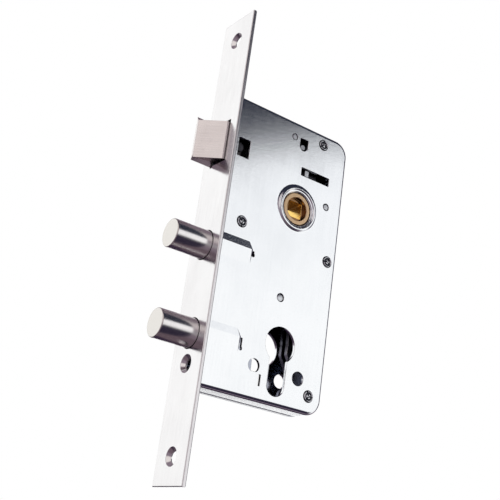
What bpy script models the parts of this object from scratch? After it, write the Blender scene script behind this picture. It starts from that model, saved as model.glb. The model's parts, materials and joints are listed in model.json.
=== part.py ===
"""Mortise lock with a sprung latch and two round bolts, for a 35-45 mm thick door.

The frame: X = 0 is the front face of the forend and +X runs into the door, +Z is up and
Z = 0 is the middle of the forend, -Y is the side that the case's pressed cover faces.
"""
import math

import bmesh
import bpy
from mathutils import Vector

MM = 0.001
GAP = 0.3 * MM  # clearance between pieces that touch

# Forend, the long plate that shows in the door's edge.
FOREND_LENGTH = 235 * MM
FOREND_WIDTH = 25 * MM
FOREND_THICK = 2.2 * MM
FOREND_EDGE = 0.35 * MM
SEAT_DEPTH = 0.3 * MM  # shallow seat for the case in the forend's back
SCREW_INSET = 12.8 * MM
SCREW_HOLE_R = 2.7 * MM
SCREW_SINK_R = 4.4 * MM
SINK_DEPTH = 1.7 * MM

# Case: a pressed cover with its walls, closed by a flat back plate.
BACKSET = 45 * MM
CENTRES = 70 * MM  # follower to cylinder
SHEET = 1.5 * MM
CASE_FRONT = FOREND_THICK
CASE_REAR = 73.4 * MM
CASE_TOP = 71.7 * MM
CASE_BOTTOM = -73.3 * MM
CASE_HALF = 7.8 * MM
INSIDE_HALF = CASE_HALF - SHEET
CASE_CORNER = 8 * MM
CASE_BEND = 1.8 * MM

# Cylinder and follower.
CYLINDER_Z = -44.26 * MM
CYLINDER_R = 8.7 * MM
CYLINDER_SLOT_R = 5.2 * MM
CYLINDER_DROP = 19.5 * MM
CYLINDER_SCREW_Z = CYLINDER_Z - 19 * MM
FOLLOWER_Z = CYLINDER_Z + CENTRES
SPINDLE = 8.1 * MM
HUB_R = 8.2 * MM
HUB_HALF = 7.7 * MM
COLLAR_R = 12.2 * MM
COLLAR_HIGH = 1.1 * MM
ARM_REACH = 15.4 * MM
ARM_TIP_R = 1.8 * MM

# Latch.
LATCH_Z = 46.8 * MM
LATCH_THROW = 11.5 * MM
LATCH_HALF_HEIGHT = 11.6 * MM
LATCH_HALF_WIDTH = 5.9 * MM
TAIL_HALF_THICK = 1.5 * MM
TAIL_LOW = 44 * MM
TAIL_HIGH = 50 * MM
LUG_X = 49.05 * MM
LUG_Z = 46.5 * MM

# Bolts.
BOLT_R = 7 * MM
BOLT_THROW = 19 * MM
BOLT_HEIGHTS = {"upper_bolt": -6.3 * MM, "lower_bolt": -49.1 * MM}
NECK_R = 2.6 * MM
BULGE_R = 9.1 * MM
BULGE_END = 22.3 * MM
PLATE_NEAR = -5.9 * MM
PLATE_FAR = -3.9 * MM
PLATE_TOP = -13.5 * MM
PLATE_LOW = -29.5 * MM
TOOTH_LOW = -34.7 * MM
DETENT_NOTCHES = [38 * MM - BOLT_THROW * k / 2 for k in (2, 1, 0)]
GUIDE_PIN_X = 41.7 * MM
GUIDE_PIN_Z = -21.6 * MM

# Posts that hold the cover to the back plate: height and depth in the case.
POSTS = {
    "post_top": (56.9 * MM, 65.6 * MM),
    "post_front": (13.8 * MM, 8.4 * MM),
    "post_rear": (67.5 * MM, 4.5 * MM),
    "post_bottom": (65.0 * MM, -64.6 * MM),
}
POST_R = 3.7 * MM
POST_TIP_R = 2.6 * MM
TAIL_GUIDE_PIN = (38.3 * MM, 63.2 * MM)
TAIL_PIN_R = 1.5 * MM
GUIDE_PIN_R = 1.8 * MM
STOP_PIN = (62.9 * MM, 32.8 * MM)
STOP_PIN_R = 1.6 * MM
GUIDE_STUD = (44.4 * MM, 59.6 * MM)

# Openings in the case's sides, as depth and height: round ones have a radius, and
# the others run from low to high.
HANDLE_SCREW = (57.6 * MM, -57.7 * MM)
HANDLE_SCREW_R = 3.4 * MM
ROUND_OPENING = (31.5 * MM, -57.3 * MM)
ROUND_OPENING_R = 3.2 * MM
LUG_SLOT = (44.8 * MM, 63 * MM, 44.2 * MM, 48.6 * MM)
LATCH_WINDOW = (5.6 * MM, 12.4 * MM, 40.5 * MM, 50.1 * MM)
STUD_WINDOW = (41.9 * MM, 47.1 * MM, 58.9 * MM, 64.0 * MM)
LANCE = (34.9 * MM, 36.1 * MM, -66.1 * MM, -60.8 * MM)

# The follower leans half its turn each way, so that its arm pushes the latch level.
HALF_TURN = math.asin(LATCH_THROW / 2 / ARM_REACH)

ROUND = 32


# ---------- small tools ----------


def clear_scene():
    for old in list(bpy.data.objects):
        bpy.data.objects.remove(old, do_unlink=True)


def make_material(name, colour, metallic, roughness):
    finish = bpy.data.materials.new(name)
    finish.use_nodes = True
    shader = finish.node_tree.nodes["Principled BSDF"]
    shader.inputs["Base Color"].default_value = (*colour, 1)
    shader.inputs["Metallic"].default_value = metallic
    shader.inputs["Roughness"].default_value = roughness
    return finish


def make_body(name, place):
    """An empty on a moving group's axis; the group's pieces have their origin on it."""
    empty = bpy.data.objects.new(name, None)
    empty.empty_display_size = 0.01
    empty.location = place
    bpy.context.collection.objects.link(empty)
    return empty


def finish_piece(name, bm, body, finish, sharp=35):
    """Turn a bmesh in lock coordinates into a smooth-shaded object of a body."""
    bmesh.ops.recalc_face_normals(bm, faces=bm.faces)
    bmesh.ops.translate(bm, verts=bm.verts, vec=-body.location)
    mesh = bpy.data.meshes.new(name)
    bm.to_mesh(mesh)
    bm.free()
    mesh.shade_smooth()
    mesh.set_sharp_from_angle(angle=math.radians(sharp))
    piece = bpy.data.objects.new(name, mesh)
    piece.parent = body
    mesh.materials.append(finish)
    bpy.context.collection.objects.link(piece)
    return piece


def make_tool(bm):
    """A hidden shape that a Boolean modifier takes away or adds."""
    bmesh.ops.recalc_face_normals(bm, faces=bm.faces)
    mesh = bpy.data.meshes.new("tool")
    bm.to_mesh(mesh)
    bm.free()
    tool = bpy.data.objects.new("tool", mesh)
    tool.hide_render = True
    tool.display_type = "WIRE"
    bpy.context.collection.objects.link(tool)
    return tool


def apply_tools(piece, operation, shapes):
    for shape in shapes:
        change = piece.modifiers.new(operation.lower(), "BOOLEAN")
        change.operation = operation
        change.solver = "EXACT"
        change.object = make_tool(shape)


def cut(piece, *shapes):
    apply_tools(piece, "DIFFERENCE", shapes)


def fuse(piece, *shapes):
    apply_tools(piece, "UNION", shapes)


def round_corners(corners, steps=6):
    """An outline of (across, up, radius) corners, with an arc at each corner."""
    outline = []
    count = len(corners)
    for i, (x, z, radius) in enumerate(corners):
        here = Vector((x, z))
        if radius == 0:
            outline.append(here)
            continue
        before = (Vector(corners[i - 1][:2]) - here).normalized()
        after = (Vector(corners[(i + 1) % count][:2]) - here).normalized()
        half = before.angle(after) / 2
        centre = here + (before + after).normalized() * (radius / math.sin(half))
        first = here + before * (radius / math.tan(half)) - centre
        sweep = math.pi - 2 * half
        turn = sweep if before.cross(after) < 0 else -sweep
        for k in range(steps + 1):
            angle = turn * k / steps
            c, s = math.cos(angle), math.sin(angle)
            outline.append(centre + Vector((first.x * c - first.y * s, first.x * s + first.y * c)))
    return outline


def circle_outline(centre, radius, steps=ROUND):
    turns = [2 * math.pi * (k + 0.5) / steps for k in range(steps)]
    return [Vector((centre[0] + radius * math.cos(t), centre[1] + radius * math.sin(t))) for t in turns]


def box_outline(x0, x1, z0, z1, radius=0.0, steps=4):
    corners = [(x0, z0, radius), (x1, z0, radius), (x1, z1, radius), (x0, z1, radius)]
    return round_corners(corners, steps)


PLANES = {
    "Y": lambda p, depth: (p[0], depth, p[1]),  # outline in X and Z
    "X": lambda p, depth: (depth, p[0], p[1]),  # outline in Y and Z
    "Z": lambda p, depth: (p[0], p[1], depth),  # outline in X and Y
}


def prism(outline, along, low, high):
    """A flat outline pushed out along one axis."""
    bm = bmesh.new()
    place = PLANES[along]
    corners = [bm.verts.new(place(p, low)) for p in outline]
    face = bm.faces.new(corners)
    moved = bmesh.ops.extrude_face_region(bm, geom=[face])["geom"]
    shift = Vector(place((0, 0), high - low))
    bmesh.ops.translate(bm, verts=[v for v in moved if isinstance(v, bmesh.types.BMVert)], vec=shift)
    return bm


def rod(along, centre, radius, low, high, steps=ROUND):
    return prism(circle_outline(centre, radius, steps), along, low, high)


def turned(along, centre, profile, steps=ROUND):
    """A solid of revolution: (radius, distance) stations along an axis."""
    bm = bmesh.new()
    place = PLANES[along]
    rings = []
    for radius, depth in profile:
        rings.append([bm.verts.new(place(p, depth)) for p in circle_outline(centre, radius, steps)])
    for low, high in zip(rings, rings[1:]):
        for k in range(steps):
            bm.faces.new((low[k], low[(k + 1) % steps], high[(k + 1) % steps], high[k]))
    bm.faces.new(rings[0])
    bm.faces.new(rings[-1])
    return bm


def round_edges(bm, edges, width, segments):
    bmesh.ops.bevel(
        bm, geom=edges, offset=width, segments=segments, affect="EDGES", profile=0.5, material=-1
    )


def bevel_near(bm, test, width, segments):
    """Round the edges whose two ends both pass a test."""
    round_edges(bm, [e for e in bm.edges if all(test(v.co) for v in e.verts)], width, segments)


def wire(name, points, radius, body, finish):
    """A closed round wire through points, with flat ends."""
    data = bpy.data.curves.new(name, "CURVE")
    data.dimensions = "3D"
    data.bevel_depth = radius
    data.bevel_resolution = 1
    data.use_fill_caps = True
    line = data.splines.new("POLY")
    line.points.add(len(points) - 1)
    for spot, place in zip(line.points, points):
        spot.co = (*(Vector(place) - body.location), 1)
    line.use_smooth = True
    data.materials.append(finish)
    piece = bpy.data.objects.new(name, data)
    piece.parent = body
    bpy.context.collection.objects.link(piece)
    return piece


# ---------- case ----------


def case_outline(inset=0.0):
    """The case seen from the side: square at the forend, rounded at the rear."""
    low, high = CASE_BOTTOM + inset, CASE_TOP - inset
    front, rear = CASE_FRONT + inset, CASE_REAR - inset
    corner = CASE_CORNER - inset
    corners = [(front, low, 0), (rear, low, corner), (rear, high, corner), (front, high, 0)]
    return round_corners(corners, steps=8)


def cylinder_tools():
    """The cutout for a cylinder: a round head on a narrower leg."""
    wide = CYLINDER_SLOT_R
    end = CYLINDER_Z - CYLINDER_DROP
    low, high = -2 * CASE_HALF, 2 * CASE_HALF
    turns = [math.pi * (1 + k / 12) for k in range(13)]
    leg = [Vector((BACKSET - wide, CYLINDER_Z))]
    leg += [Vector((BACKSET + wide * math.cos(t), end + wide * math.sin(t))) for t in turns]
    leg.append(Vector((BACKSET + wide, CYLINDER_Z)))
    return [rod("Y", (BACKSET, CYLINDER_Z), CYLINDER_R, low, high), prism(leg, "Y", low, high)]


def side_tools(low, high):
    """Holes that a side of the case has, whichever side it is."""
    round_holes = [(place, POST_TIP_R + GAP) for place in POSTS.values()]
    round_holes += [(HANDLE_SCREW, HANDLE_SCREW_R), (TAIL_GUIDE_PIN, TAIL_PIN_R + GAP)]
    round_holes.append(((GUIDE_PIN_X, GUIDE_PIN_Z), GUIDE_PIN_R + GAP))
    tools = [rod("Y", place, radius, low, high, 20) for place, radius in round_holes]
    tools.append(rod("Y", (BACKSET, FOLLOWER_Z), HUB_R + 0.4 * MM, low, high))
    tools += cylinder_tools()
    tools.append(prism(box_outline(*LUG_SLOT), "Y", low, high))
    return tools


def bulge(side, bolt_z):
    """A half-round swelling in a side of the case, which makes room for a bolt."""
    chord = CASE_HALF - 0.9 * MM
    spread = math.acos(chord / BULGE_R)
    turns = [-spread + 2 * spread * k / 14 for k in range(15)]
    outline = [
        Vector((side * BULGE_R * math.cos(t), bolt_z + BULGE_R * math.sin(t))) for t in turns
    ]
    return prism(outline, "X", CASE_FRONT + GAP, BULGE_END)


def bulge_bore(bolt_z):
    return rod("X", (0, bolt_z), BOLT_R + 0.5 * MM, CASE_FRONT - MM, BULGE_END - SHEET)


def collar(side):
    """The raised lip that a side of the case has round the follower."""
    foot = side * (CASE_HALF - 0.6 * MM)
    face = side * CASE_HALF
    crest = side * (CASE_HALF + COLLAR_HIGH)
    stations = [
        (COLLAR_R - 0.6 * MM, foot),
        (COLLAR_R, face),
        (COLLAR_R - 1.4 * MM, face + side * 0.7 * MM),
        (COLLAR_R - 2.6 * MM, crest),
        (HUB_R + 0.9 * MM, crest),
    ]
    return turned("Y", (BACKSET, FOLLOWER_Z), stations)


def make_forend(body, finish):
    half = FOREND_WIDTH / 2
    top = FOREND_LENGTH / 2
    bm = prism(box_outline(-half, half, -top, top), "X", 0, FOREND_THICK)
    bevel_near(bm, lambda v: v.x < 0.1 * MM, FOREND_EDGE, 2)
    piece = finish_piece("forend", bm, body, finish)
    low, high = -MM, FOREND_THICK + MM
    seat = box_outline(-CASE_HALF - GAP, CASE_HALF + GAP, CASE_BOTTOM - GAP, CASE_TOP + GAP)
    tools = [prism(seat, "X", FOREND_THICK - SEAT_DEPTH, high)]
    for z in (top - SCREW_INSET, SCREW_INSET - top, CYLINDER_SCREW_Z):
        slope = (SCREW_SINK_R - SCREW_HOLE_R) / SINK_DEPTH
        sink = [(SCREW_SINK_R + slope * MM, low), (SCREW_HOLE_R, SINK_DEPTH), (SCREW_HOLE_R, high)]
        tools.append(turned("X", (0, z), sink))
    for z in BOLT_HEIGHTS.values():
        tools.append(rod("X", (0, z), BOLT_R + GAP, low, high))
    latch = box_outline(
        -LATCH_HALF_WIDTH - 0.4 * MM,
        LATCH_HALF_WIDTH + 0.4 * MM,
        LATCH_Z - LATCH_HALF_HEIGHT - 0.4 * MM,
        LATCH_Z + LATCH_HALF_HEIGHT + 0.4 * MM,
    )
    tools.append(prism(latch, "X", low, high))
    cut(piece, *tools)
    return piece


def make_case_body(body, finish):
    """The pressed cover: its flat side, its four walls, bolt bulges and openings."""
    rim = INSIDE_HALF - GAP
    bm = prism(case_outline(), "Y", -CASE_HALF, rim)
    in_front = CASE_FRONT + 0.01 * MM
    on_face = -CASE_HALF + 0.01 * MM
    edges = [
        e
        for e in bm.edges
        if all(v.co.y < on_face for v in e.verts) and any(v.co.x > in_front for v in e.verts)
    ]
    round_edges(bm, edges, CASE_BEND, 3)
    piece = finish_piece("case_body", bm, body, finish)
    cut(piece, prism(case_outline(SHEET), "Y", -INSIDE_HALF, 2 * CASE_HALF))
    fuse(piece, *[bulge(-1, z) for z in BOLT_HEIGHTS.values()], collar(-1))
    low, high = -2 * CASE_HALF, -INSIDE_HALF + 2 * MM
    tools = side_tools(low, high)
    windows = (LATCH_WINDOW, STUD_WINDOW, LANCE)
    tools += [prism(box_outline(*window), "Y", low, high) for window in windows]
    round_holes = [(GUIDE_STUD, 2.2 * MM), (STOP_PIN, STOP_PIN_R + GAP)]
    round_holes.append((ROUND_OPENING, ROUND_OPENING_R))
    tools += [rod("Y", place, radius, low, high, 20) for place, radius in round_holes]
    tools += [bulge_bore(z) for z in BOLT_HEIGHTS.values()]
    front_low, front_high = CASE_FRONT - MM, CASE_FRONT + SHEET + MM
    latch = box_outline(
        -LATCH_HALF_WIDTH - GAP,
        2 * CASE_HALF,
        LATCH_Z - LATCH_HALF_HEIGHT - 0.4 * MM,
        LATCH_Z + LATCH_HALF_HEIGHT + 0.4 * MM,
    )
    tools.append(prism(latch, "X", front_low, front_high))
    tools.append(rod("X", (0, CYLINDER_SCREW_Z), SCREW_HOLE_R, front_low, front_high, 20))
    cut(piece, *tools)
    return piece


def make_back_plate(body, finish):
    """The flat plate that closes the case, with the same bulges and openings."""
    bm = prism(case_outline(), "Y", INSIDE_HALF, CASE_HALF)
    bevel_near(bm, lambda v: v.y > CASE_HALF - 0.01 * MM, 0.3 * MM, 1)
    piece = finish_piece("back_plate", bm, body, finish)
    fuse(piece, *[bulge(1, z) for z in BOLT_HEIGHTS.values()], collar(1))
    low, high = INSIDE_HALF - 2 * MM, 2 * CASE_HALF
    cut(piece, *side_tools(low, high), *[bulge_bore(z) for z in BOLT_HEIGHTS.values()])
    return piece


def make_post(name, place, body, finish):
    inner = INSIDE_HALF - GAP
    tip = CASE_HALF + 0.6 * MM
    stations = [(POST_TIP_R, -tip), (POST_TIP_R, -inner), (POST_R, -inner), (POST_R, inner)]
    stations += [(POST_TIP_R, inner), (POST_TIP_R, tip)]
    return finish_piece(name, turned("Y", place, stations, 20), body, finish)


def make_pins(body, finish):
    inner = INSIDE_HALF - GAP
    outside = CASE_HALF + 0.2 * MM
    under_plate = PLATE_FAR + GAP
    thin, thick = GUIDE_PIN_R, 3 * MM
    guide = [(thin, -outside), (thin, under_plate), (thick, under_plate)]
    guide += [(thick, inner), (thin, inner), (thin, outside)]
    tail = [(TAIL_PIN_R, -outside), (TAIL_PIN_R, outside)]
    thin, thick = STOP_PIN_R, 2.4 * MM
    stop = [(thin, -outside), (thin, -inner), (thick, -inner), (thick, 2.6 * MM)]
    pins = {
        "plate_guide_pin": ((GUIDE_PIN_X, GUIDE_PIN_Z), guide),
        "tail_guide_pin": (TAIL_GUIDE_PIN, tail),
        "follower_stop_pin": (STOP_PIN, stop),
    }
    for name, (place, stations) in pins.items():
        finish_piece(name, turned("Y", place, stations, 20), body, finish)


def make_tail_guide(body, finish):
    """The block that the latch's tail slides through; the latch spring bears on it."""
    seat, step, rear = 33.4 * MM, 36.9 * MM, 47.5 * MM
    corners = [
        (seat, 38 * MM, 0.6 * MM),
        (step, 38 * MM, 0.6 * MM),
        (step, 55 * MM, 1.5 * MM),
        (rear, 55 * MM, 1.0 * MM),
        (rear, 66.5 * MM, 2.0 * MM),
        (seat, 66.5 * MM, 2.0 * MM),
    ]
    near, far = -3.6 * MM, INSIDE_HALF - GAP
    bm = prism(round_corners(corners, 3), "Y", near, far)
    piece = finish_piece("tail_guide", bm, body, finish)
    fuse(piece, rod("Y", GUIDE_STUD, 1.4 * MM, -7.2 * MM, near + MM, 20))
    half = TAIL_HALF_THICK + 0.4 * MM
    window = box_outline(-half, half, TAIL_LOW - 0.4 * MM, TAIL_HIGH + 0.4 * MM)
    cut(
        piece,
        prism(window, "X", seat - MM, step + MM),
        rod("Y", TAIL_GUIDE_PIN, TAIL_PIN_R + GAP, near - MM, far + MM, 20),
    )
    return piece


def make_detent_spring(body, finish):
    """A wire spring coiled round the front post; its bent tip drops into the bolt plate."""
    wire_r = 0.65 * MM
    x, z = POSTS["post_front"]
    coil_r = POST_R + 0.35 * MM + wire_r
    near = -5.0 * MM
    pitch = 1.5 * MM
    points = [(6.0 * MM, near, z + coil_r + 1.4 * MM), (x - 4 * MM, near, z + coil_r + 0.6 * MM)]
    turns = 1.5
    steps = 30
    for k in range(steps + 1):
        share = k / steps
        angle = math.pi / 2 - 2 * math.pi * turns * share
        depth = near + pitch * turns * share
        points.append((x + coil_r * math.cos(angle), depth, z + coil_r * math.sin(angle)))
    back = near + pitch * turns
    tip_x = DETENT_NOTCHES[-1]
    points += [
        (x + 6 * MM, back, z - coil_r),
        (x + 15 * MM, near + 0.6 * MM, z - coil_r - 0.2 * MM),
        (tip_x - 6 * MM, near + 0.4 * MM, z - coil_r - 1.5 * MM),
        (tip_x - 2 * MM, near + 0.4 * MM, PLATE_TOP + 3.2 * MM),
        (tip_x, near + 0.4 * MM, PLATE_TOP + 0.1 * MM),
        (tip_x + 2 * MM, near + 0.4 * MM, PLATE_TOP + 3 * MM),
        (tip_x + 4.5 * MM, near + 0.4 * MM, PLATE_TOP + 4.2 * MM),
    ]
    return wire("detent_spring", points, wire_r, body, finish)


# ---------- follower ----------


def make_follower(body, finish):
    """The hub that the handle's square bar turns, its arm and its stop ear."""
    centre = Vector((BACKSET, FOLLOWER_Z))
    sunk_r = 6 * MM
    sunk = 2 * MM
    inner = INSIDE_HALF - GAP - 0.1 * MM
    stations = [(HUB_R, -HUB_HALF), (HUB_R, -inner), (9.4 * MM, -inner), (9.4 * MM, inner)]
    stations += [(HUB_R, inner), (HUB_R, HUB_HALF)]
    bm = turned("Y", centre, stations, 40)
    piece = finish_piece("follower", bm, body, finish)
    thick = 2.2 * MM

    def spoke(direction, reach, tip_r, neck_r):
        """A tapered arm with a round tip, from the hub outwards."""
        out = Vector((math.sin(direction), math.cos(direction)))
        side = Vector((out.y, -out.x))
        tip = centre + out * reach
        root = 3.2 * MM
        arm = [centre - side * root, centre + side * root, tip + side * neck_r, tip - side * neck_r]
        return [prism(arm, "Y", -thick, thick), rod("Y", tip, tip_r, -thick, thick, 20)]

    ear = math.radians(82.5)
    fuse(
        piece,
        *spoke(-HALF_TURN, ARM_REACH, ARM_TIP_R, 1.1 * MM),
        *spoke(ear, 17.6 * MM, 2 * MM, 1.9 * MM),
    )
    half = SPINDLE / 2
    square = box_outline(BACKSET - half, BACKSET + half, FOLLOWER_Z - half, FOLLOWER_Z + half)
    reach = HUB_HALF + MM
    cut(
        piece,
        prism(square, "Y", -reach, reach),
        rod("Y", centre, sunk_r, -reach, -HUB_HALF + sunk),
        rod("Y", centre, sunk_r, HUB_HALF - sunk, reach),
    )
    return piece


# ---------- latch ----------


def make_latch(body, head_finish, steel):
    low, high = LATCH_Z - LATCH_HALF_HEIGHT, LATCH_Z + LATCH_HALF_HEIGHT
    half = LATCH_HALF_WIDTH
    shoulder, neck_end, neck_half = 4.4 * MM, 13.5 * MM, 3 * MM
    plan = [
        (shoulder, -half),
        (shoulder, half),
        (-LATCH_THROW, half),
        (-LATCH_THROW, half - 1.5 * MM),
        (-1.6 * MM, -half),
    ]
    bm = prism([Vector(p) for p in plan], "Z", low, high)
    sloped = [
        e
        for e in bm.edges
        if abs(e.verts[0].co.z - e.verts[1].co.z) < 1e-6
        and any(v.co.y < -half + 0.1 * MM and v.co.x < 0 for v in e.verts)
        and any(v.co.y > 0 for v in e.verts)
    ]
    bmesh.ops.bevel(
        bm, geom=sloped, offset=0.9 * MM, segments=1, affect="EDGES", profile=0.5, material=-1
    )
    head = finish_piece("latch_head", bm, body, head_finish, sharp=20)
    neck = box_outline(-neck_half, neck_half, 41.4 * MM, 52.6 * MM)
    fuse(head, prism(neck, "X", shoulder - MM, neck_end))
    gap = TAIL_HALF_THICK + 0.35 * MM
    slot = box_outline(-gap, gap, TAIL_LOW - 0.35 * MM, TAIL_HIGH + 0.35 * MM)
    rivet = (8.6 * MM, (TAIL_LOW + TAIL_HIGH) / 2)
    cut(head, prism(slot, "X", 2 * MM, neck_end + MM))
    cut(head, rod("Y", rivet, 1.8 * MM, -2 * neck_half, 2 * neck_half, 20))

    hook_x = BACKSET - LATCH_THROW / 2 + ARM_TIP_R + GAP
    hook_low = 39.6 * MM
    hook_wide = 4 * MM
    end = 59.5 * MM
    outline = round_corners(
        [
            (2.4 * MM, TAIL_LOW, 0),
            (hook_x, TAIL_LOW, 0),
            (hook_x, hook_low, 0.5 * MM),
            (hook_x + hook_wide, hook_low, 0.8 * MM),
            (hook_x + hook_wide, TAIL_LOW, 1.0 * MM),
            (end, TAIL_LOW, 1.0 * MM),
            (end, TAIL_HIGH, 1.0 * MM),
            (2.4 * MM, TAIL_HIGH, 0),
        ],
        3,
    )
    tail = finish_piece(
        "latch_tail", prism(outline, "Y", -TAIL_HALF_THICK, TAIL_HALF_THICK), body, steel
    )
    lug = (LUG_X, LUG_Z)
    for place in (rivet, lug):
        cut(tail, rod("Y", place, 1.8 * MM, -5 * MM, 5 * MM, 20))

    inner, outer = neck_half + GAP, neck_half + 1.2 * MM
    stations = [(2.4 * MM, -outer), (2.4 * MM, -inner), (1.5 * MM, -inner)]
    stations += [(1.5 * MM, inner), (2.4 * MM, inner), (2.4 * MM, outer)]
    finish_piece("latch_rivet", turned("Y", rivet, stations, 20), body, steel)

    face = TAIL_HALF_THICK + GAP
    stations = [(1.5 * MM, -face - MM), (1.5 * MM, 5.3 * MM)]
    lug_piece = finish_piece("tail_lug", turned("Y", lug, stations, 20), body, steel)
    block = box_outline(LUG_X - 1.2 * MM, LUG_X + 1.2 * MM, LUG_Z - 1.7 * MM, LUG_Z + 1.6 * MM)
    fuse(lug_piece, prism(block, "Y", -6.9 * MM, -face))


def make_latch_spring(body, finish):
    """A coil spring round the latch's tail, between the latch and the tail guide."""
    front, rear = 14.3 * MM, 32.6 * MM
    turns, steps = 7, 84
    coil_r = 4.7 * MM
    middle = (TAIL_LOW + TAIL_HIGH) / 2
    points = []
    for k in range(steps + 1):
        angle = 2 * math.pi * turns * k / steps
        x = front + (rear - front) * k / steps
        points.append((x, coil_r * math.cos(angle), middle + coil_r * math.sin(angle)))
    return wire("latch_spring", points, 0.45 * MM, body, finish)


# ---------- bolts ----------


def make_bolts(body, bolt_finish, steel):
    seat, head_start, head_end = 4 * MM, 7.1 * MM, 8.3 * MM
    chamfer = 0.6 * MM
    for name, z in BOLT_HEIGHTS.items():
        stations = [
            (BOLT_R - chamfer, -BOLT_THROW),
            (BOLT_R, -BOLT_THROW + chamfer),
            (BOLT_R, MM),
            (5.9 * MM, MM),
            (5.9 * MM, seat),
            (NECK_R, seat),
            (NECK_R, head_start),
            (NECK_R + 0.9 * MM, head_start),
            (NECK_R + 0.7 * MM, head_end),
        ]
        finish_piece(name, turned("X", (0, z), stations, 40), body, bolt_finish)

    flange_front, flange_back = seat + GAP, head_start - GAP
    teeth = (20.8 * MM, 30.3 * MM, 38.2 * MM, 47.7 * MM)
    tooth = 2.5 * MM
    arm_end = teeth[-1] + tooth
    corners = [
        (flange_front, -56 * MM, 0),
        (9 * MM, -56 * MM, 1 * MM),
        (9 * MM, PLATE_LOW - 6 * MM, 2 * MM),
        (14 * MM, PLATE_LOW, 2 * MM),
    ]
    for left in teeth:
        right = left + tooth
        foot = [] if right == arm_end else [(right, PLATE_LOW, 0)]
        corners += [(left, PLATE_LOW, 0), (left, TOOTH_LOW, 0.4 * MM), (right, TOOTH_LOW, 0.4 * MM)]
        corners += foot
    corners.append((arm_end, PLATE_TOP, 2 * MM))
    for notch in reversed(DETENT_NOTCHES):
        wide, deep = 1.6 * MM, 1.4 * MM
        corners += [(notch + wide, PLATE_TOP, 0), (notch, PLATE_TOP - deep, 0)]
        corners += [(notch - wide, PLATE_TOP, 0)]
    corners += [(12 * MM, PLATE_TOP, 3 * MM), (12 * MM, 0.6 * MM, 2 * MM), (flange_front, 0.6 * MM, 0)]
    bm = prism(round_corners(corners, 3), "Y", PLATE_NEAR, PLATE_FAR)
    plate = finish_piece("bolt_plate", bm, body, steel)
    flange = box_outline(PLATE_NEAR, 5.6 * MM, -56 * MM, 0.6 * MM)
    fuse(plate, prism(flange, "X", flange_front, flange_back))
    slot_r = 2.1 * MM
    slot = box_outline(
        GUIDE_PIN_X - BOLT_THROW - slot_r,
        GUIDE_PIN_X + slot_r,
        GUIDE_PIN_Z - slot_r,
        GUIDE_PIN_Z + slot_r,
        slot_r - 0.01 * MM,
    )
    tools = [prism(slot, "Y", 2 * PLATE_NEAR, 0)]
    tools += [rod("X", (0, z), NECK_R + GAP, 0, 2 * flange_back, 20) for z in BOLT_HEIGHTS.values()]
    cut(plate, *tools)


# ---------- key lever ----------


def make_key_lever(body, finish):
    """The long lever that draws the latch back when the key is turned past the bolts."""
    pivot = POSTS["post_bottom"]
    corners = [
        (62.6 * MM, -60.0 * MM, 2 * MM),
        (62.4 * MM, -53.0 * MM, 3 * MM),
        (57.4 * MM, -44.5 * MM, 1.2 * MM),
        (57.6 * MM, -39.0 * MM, 2 * MM),
        (54.9 * MM, -12.0 * MM, 3 * MM),
        (50.6 * MM, 4.5 * MM, 4 * MM),
        (55.1 * MM, 22.0 * MM, 4 * MM),
        (55.1 * MM, 32.0 * MM, 4 * MM),
        (45.6 * MM, 42.5 * MM, 3 * MM),
        (45.6 * MM, 51.0 * MM, 1 * MM),
        (52.6 * MM, 51.0 * MM, 1 * MM),
        (52.8 * MM, 44.5 * MM, 3 * MM),
        (60.4 * MM, 35.0 * MM, 4 * MM),
        (60.4 * MM, 20.0 * MM, 4 * MM),
        (55.6 * MM, 4.5 * MM, 4 * MM),
        (60.2 * MM, -12.0 * MM, 3 * MM),
        (62.6 * MM, -38.0 * MM, 4 * MM),
        (67.6 * MM, -54.0 * MM, 3 * MM),
        (67.6 * MM, -60.0 * MM, 2 * MM),
    ]
    low, high = 3 * MM, 5 * MM
    lever = finish_piece("key_lever", prism(round_corners(corners, 4), "Y", low, high), body, finish)
    fuse(lever, rod("Y", pivot, 6.2 * MM, low, high))
    fork = 1.5 * MM + 0.4 * MM
    slot = box_outline(LUG_X - fork, LUG_X + fork, LUG_Z - 2.6 * MM, 60 * MM)
    cut(lever, rod("Y", pivot, POST_R + GAP, 0, 2 * high, 24), prism(slot, "Y", 0, 2 * high))
    return lever


# ---------- the lock ----------


def build_lock():
    clear_scene()
    nickel = make_material("satin_nickel", (0.72, 0.69, 0.67), 1.0, 0.3)
    zinc = make_material("zinc_plate", (0.78, 0.8, 0.82), 1.0, 0.35)
    steel = make_material("mild_steel", (0.55, 0.55, 0.56), 1.0, 0.4)
    bronze = make_material("bronze", (0.8, 0.58, 0.32), 1.0, 0.35)
    spring_steel = make_material("spring_steel", (0.35, 0.35, 0.37), 1.0, 0.3)

    case = make_body("case_group", (0, 0, 0))
    handle = make_body("follower_group", (BACKSET, 0, FOLLOWER_Z))
    latch = make_body("latch_group", (0, 0, LATCH_Z))
    bolts = make_body("bolt_group", (0, 0, sum(BOLT_HEIGHTS.values()) / 2))
    lever_x, lever_z = POSTS["post_bottom"]
    key = make_body("key_lever_group", (lever_x, 0, lever_z))

    make_forend(case, nickel)
    make_case_body(case, zinc)
    make_back_plate(case, zinc)
    for name, place in POSTS.items():
        make_post(name, place, case, steel)
    make_pins(case, steel)
    make_tail_guide(case, steel)
    make_detent_spring(case, spring_steel)
    make_latch_spring(case, spring_steel)
    make_follower(handle, bronze)
    make_latch(latch, nickel, steel)
    make_bolts(bolts, nickel, steel)
    make_key_lever(key, zinc)


build_lock()
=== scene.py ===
import json
import math

import bmesh
import bpy
from mathutils import Matrix, Vector


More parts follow.
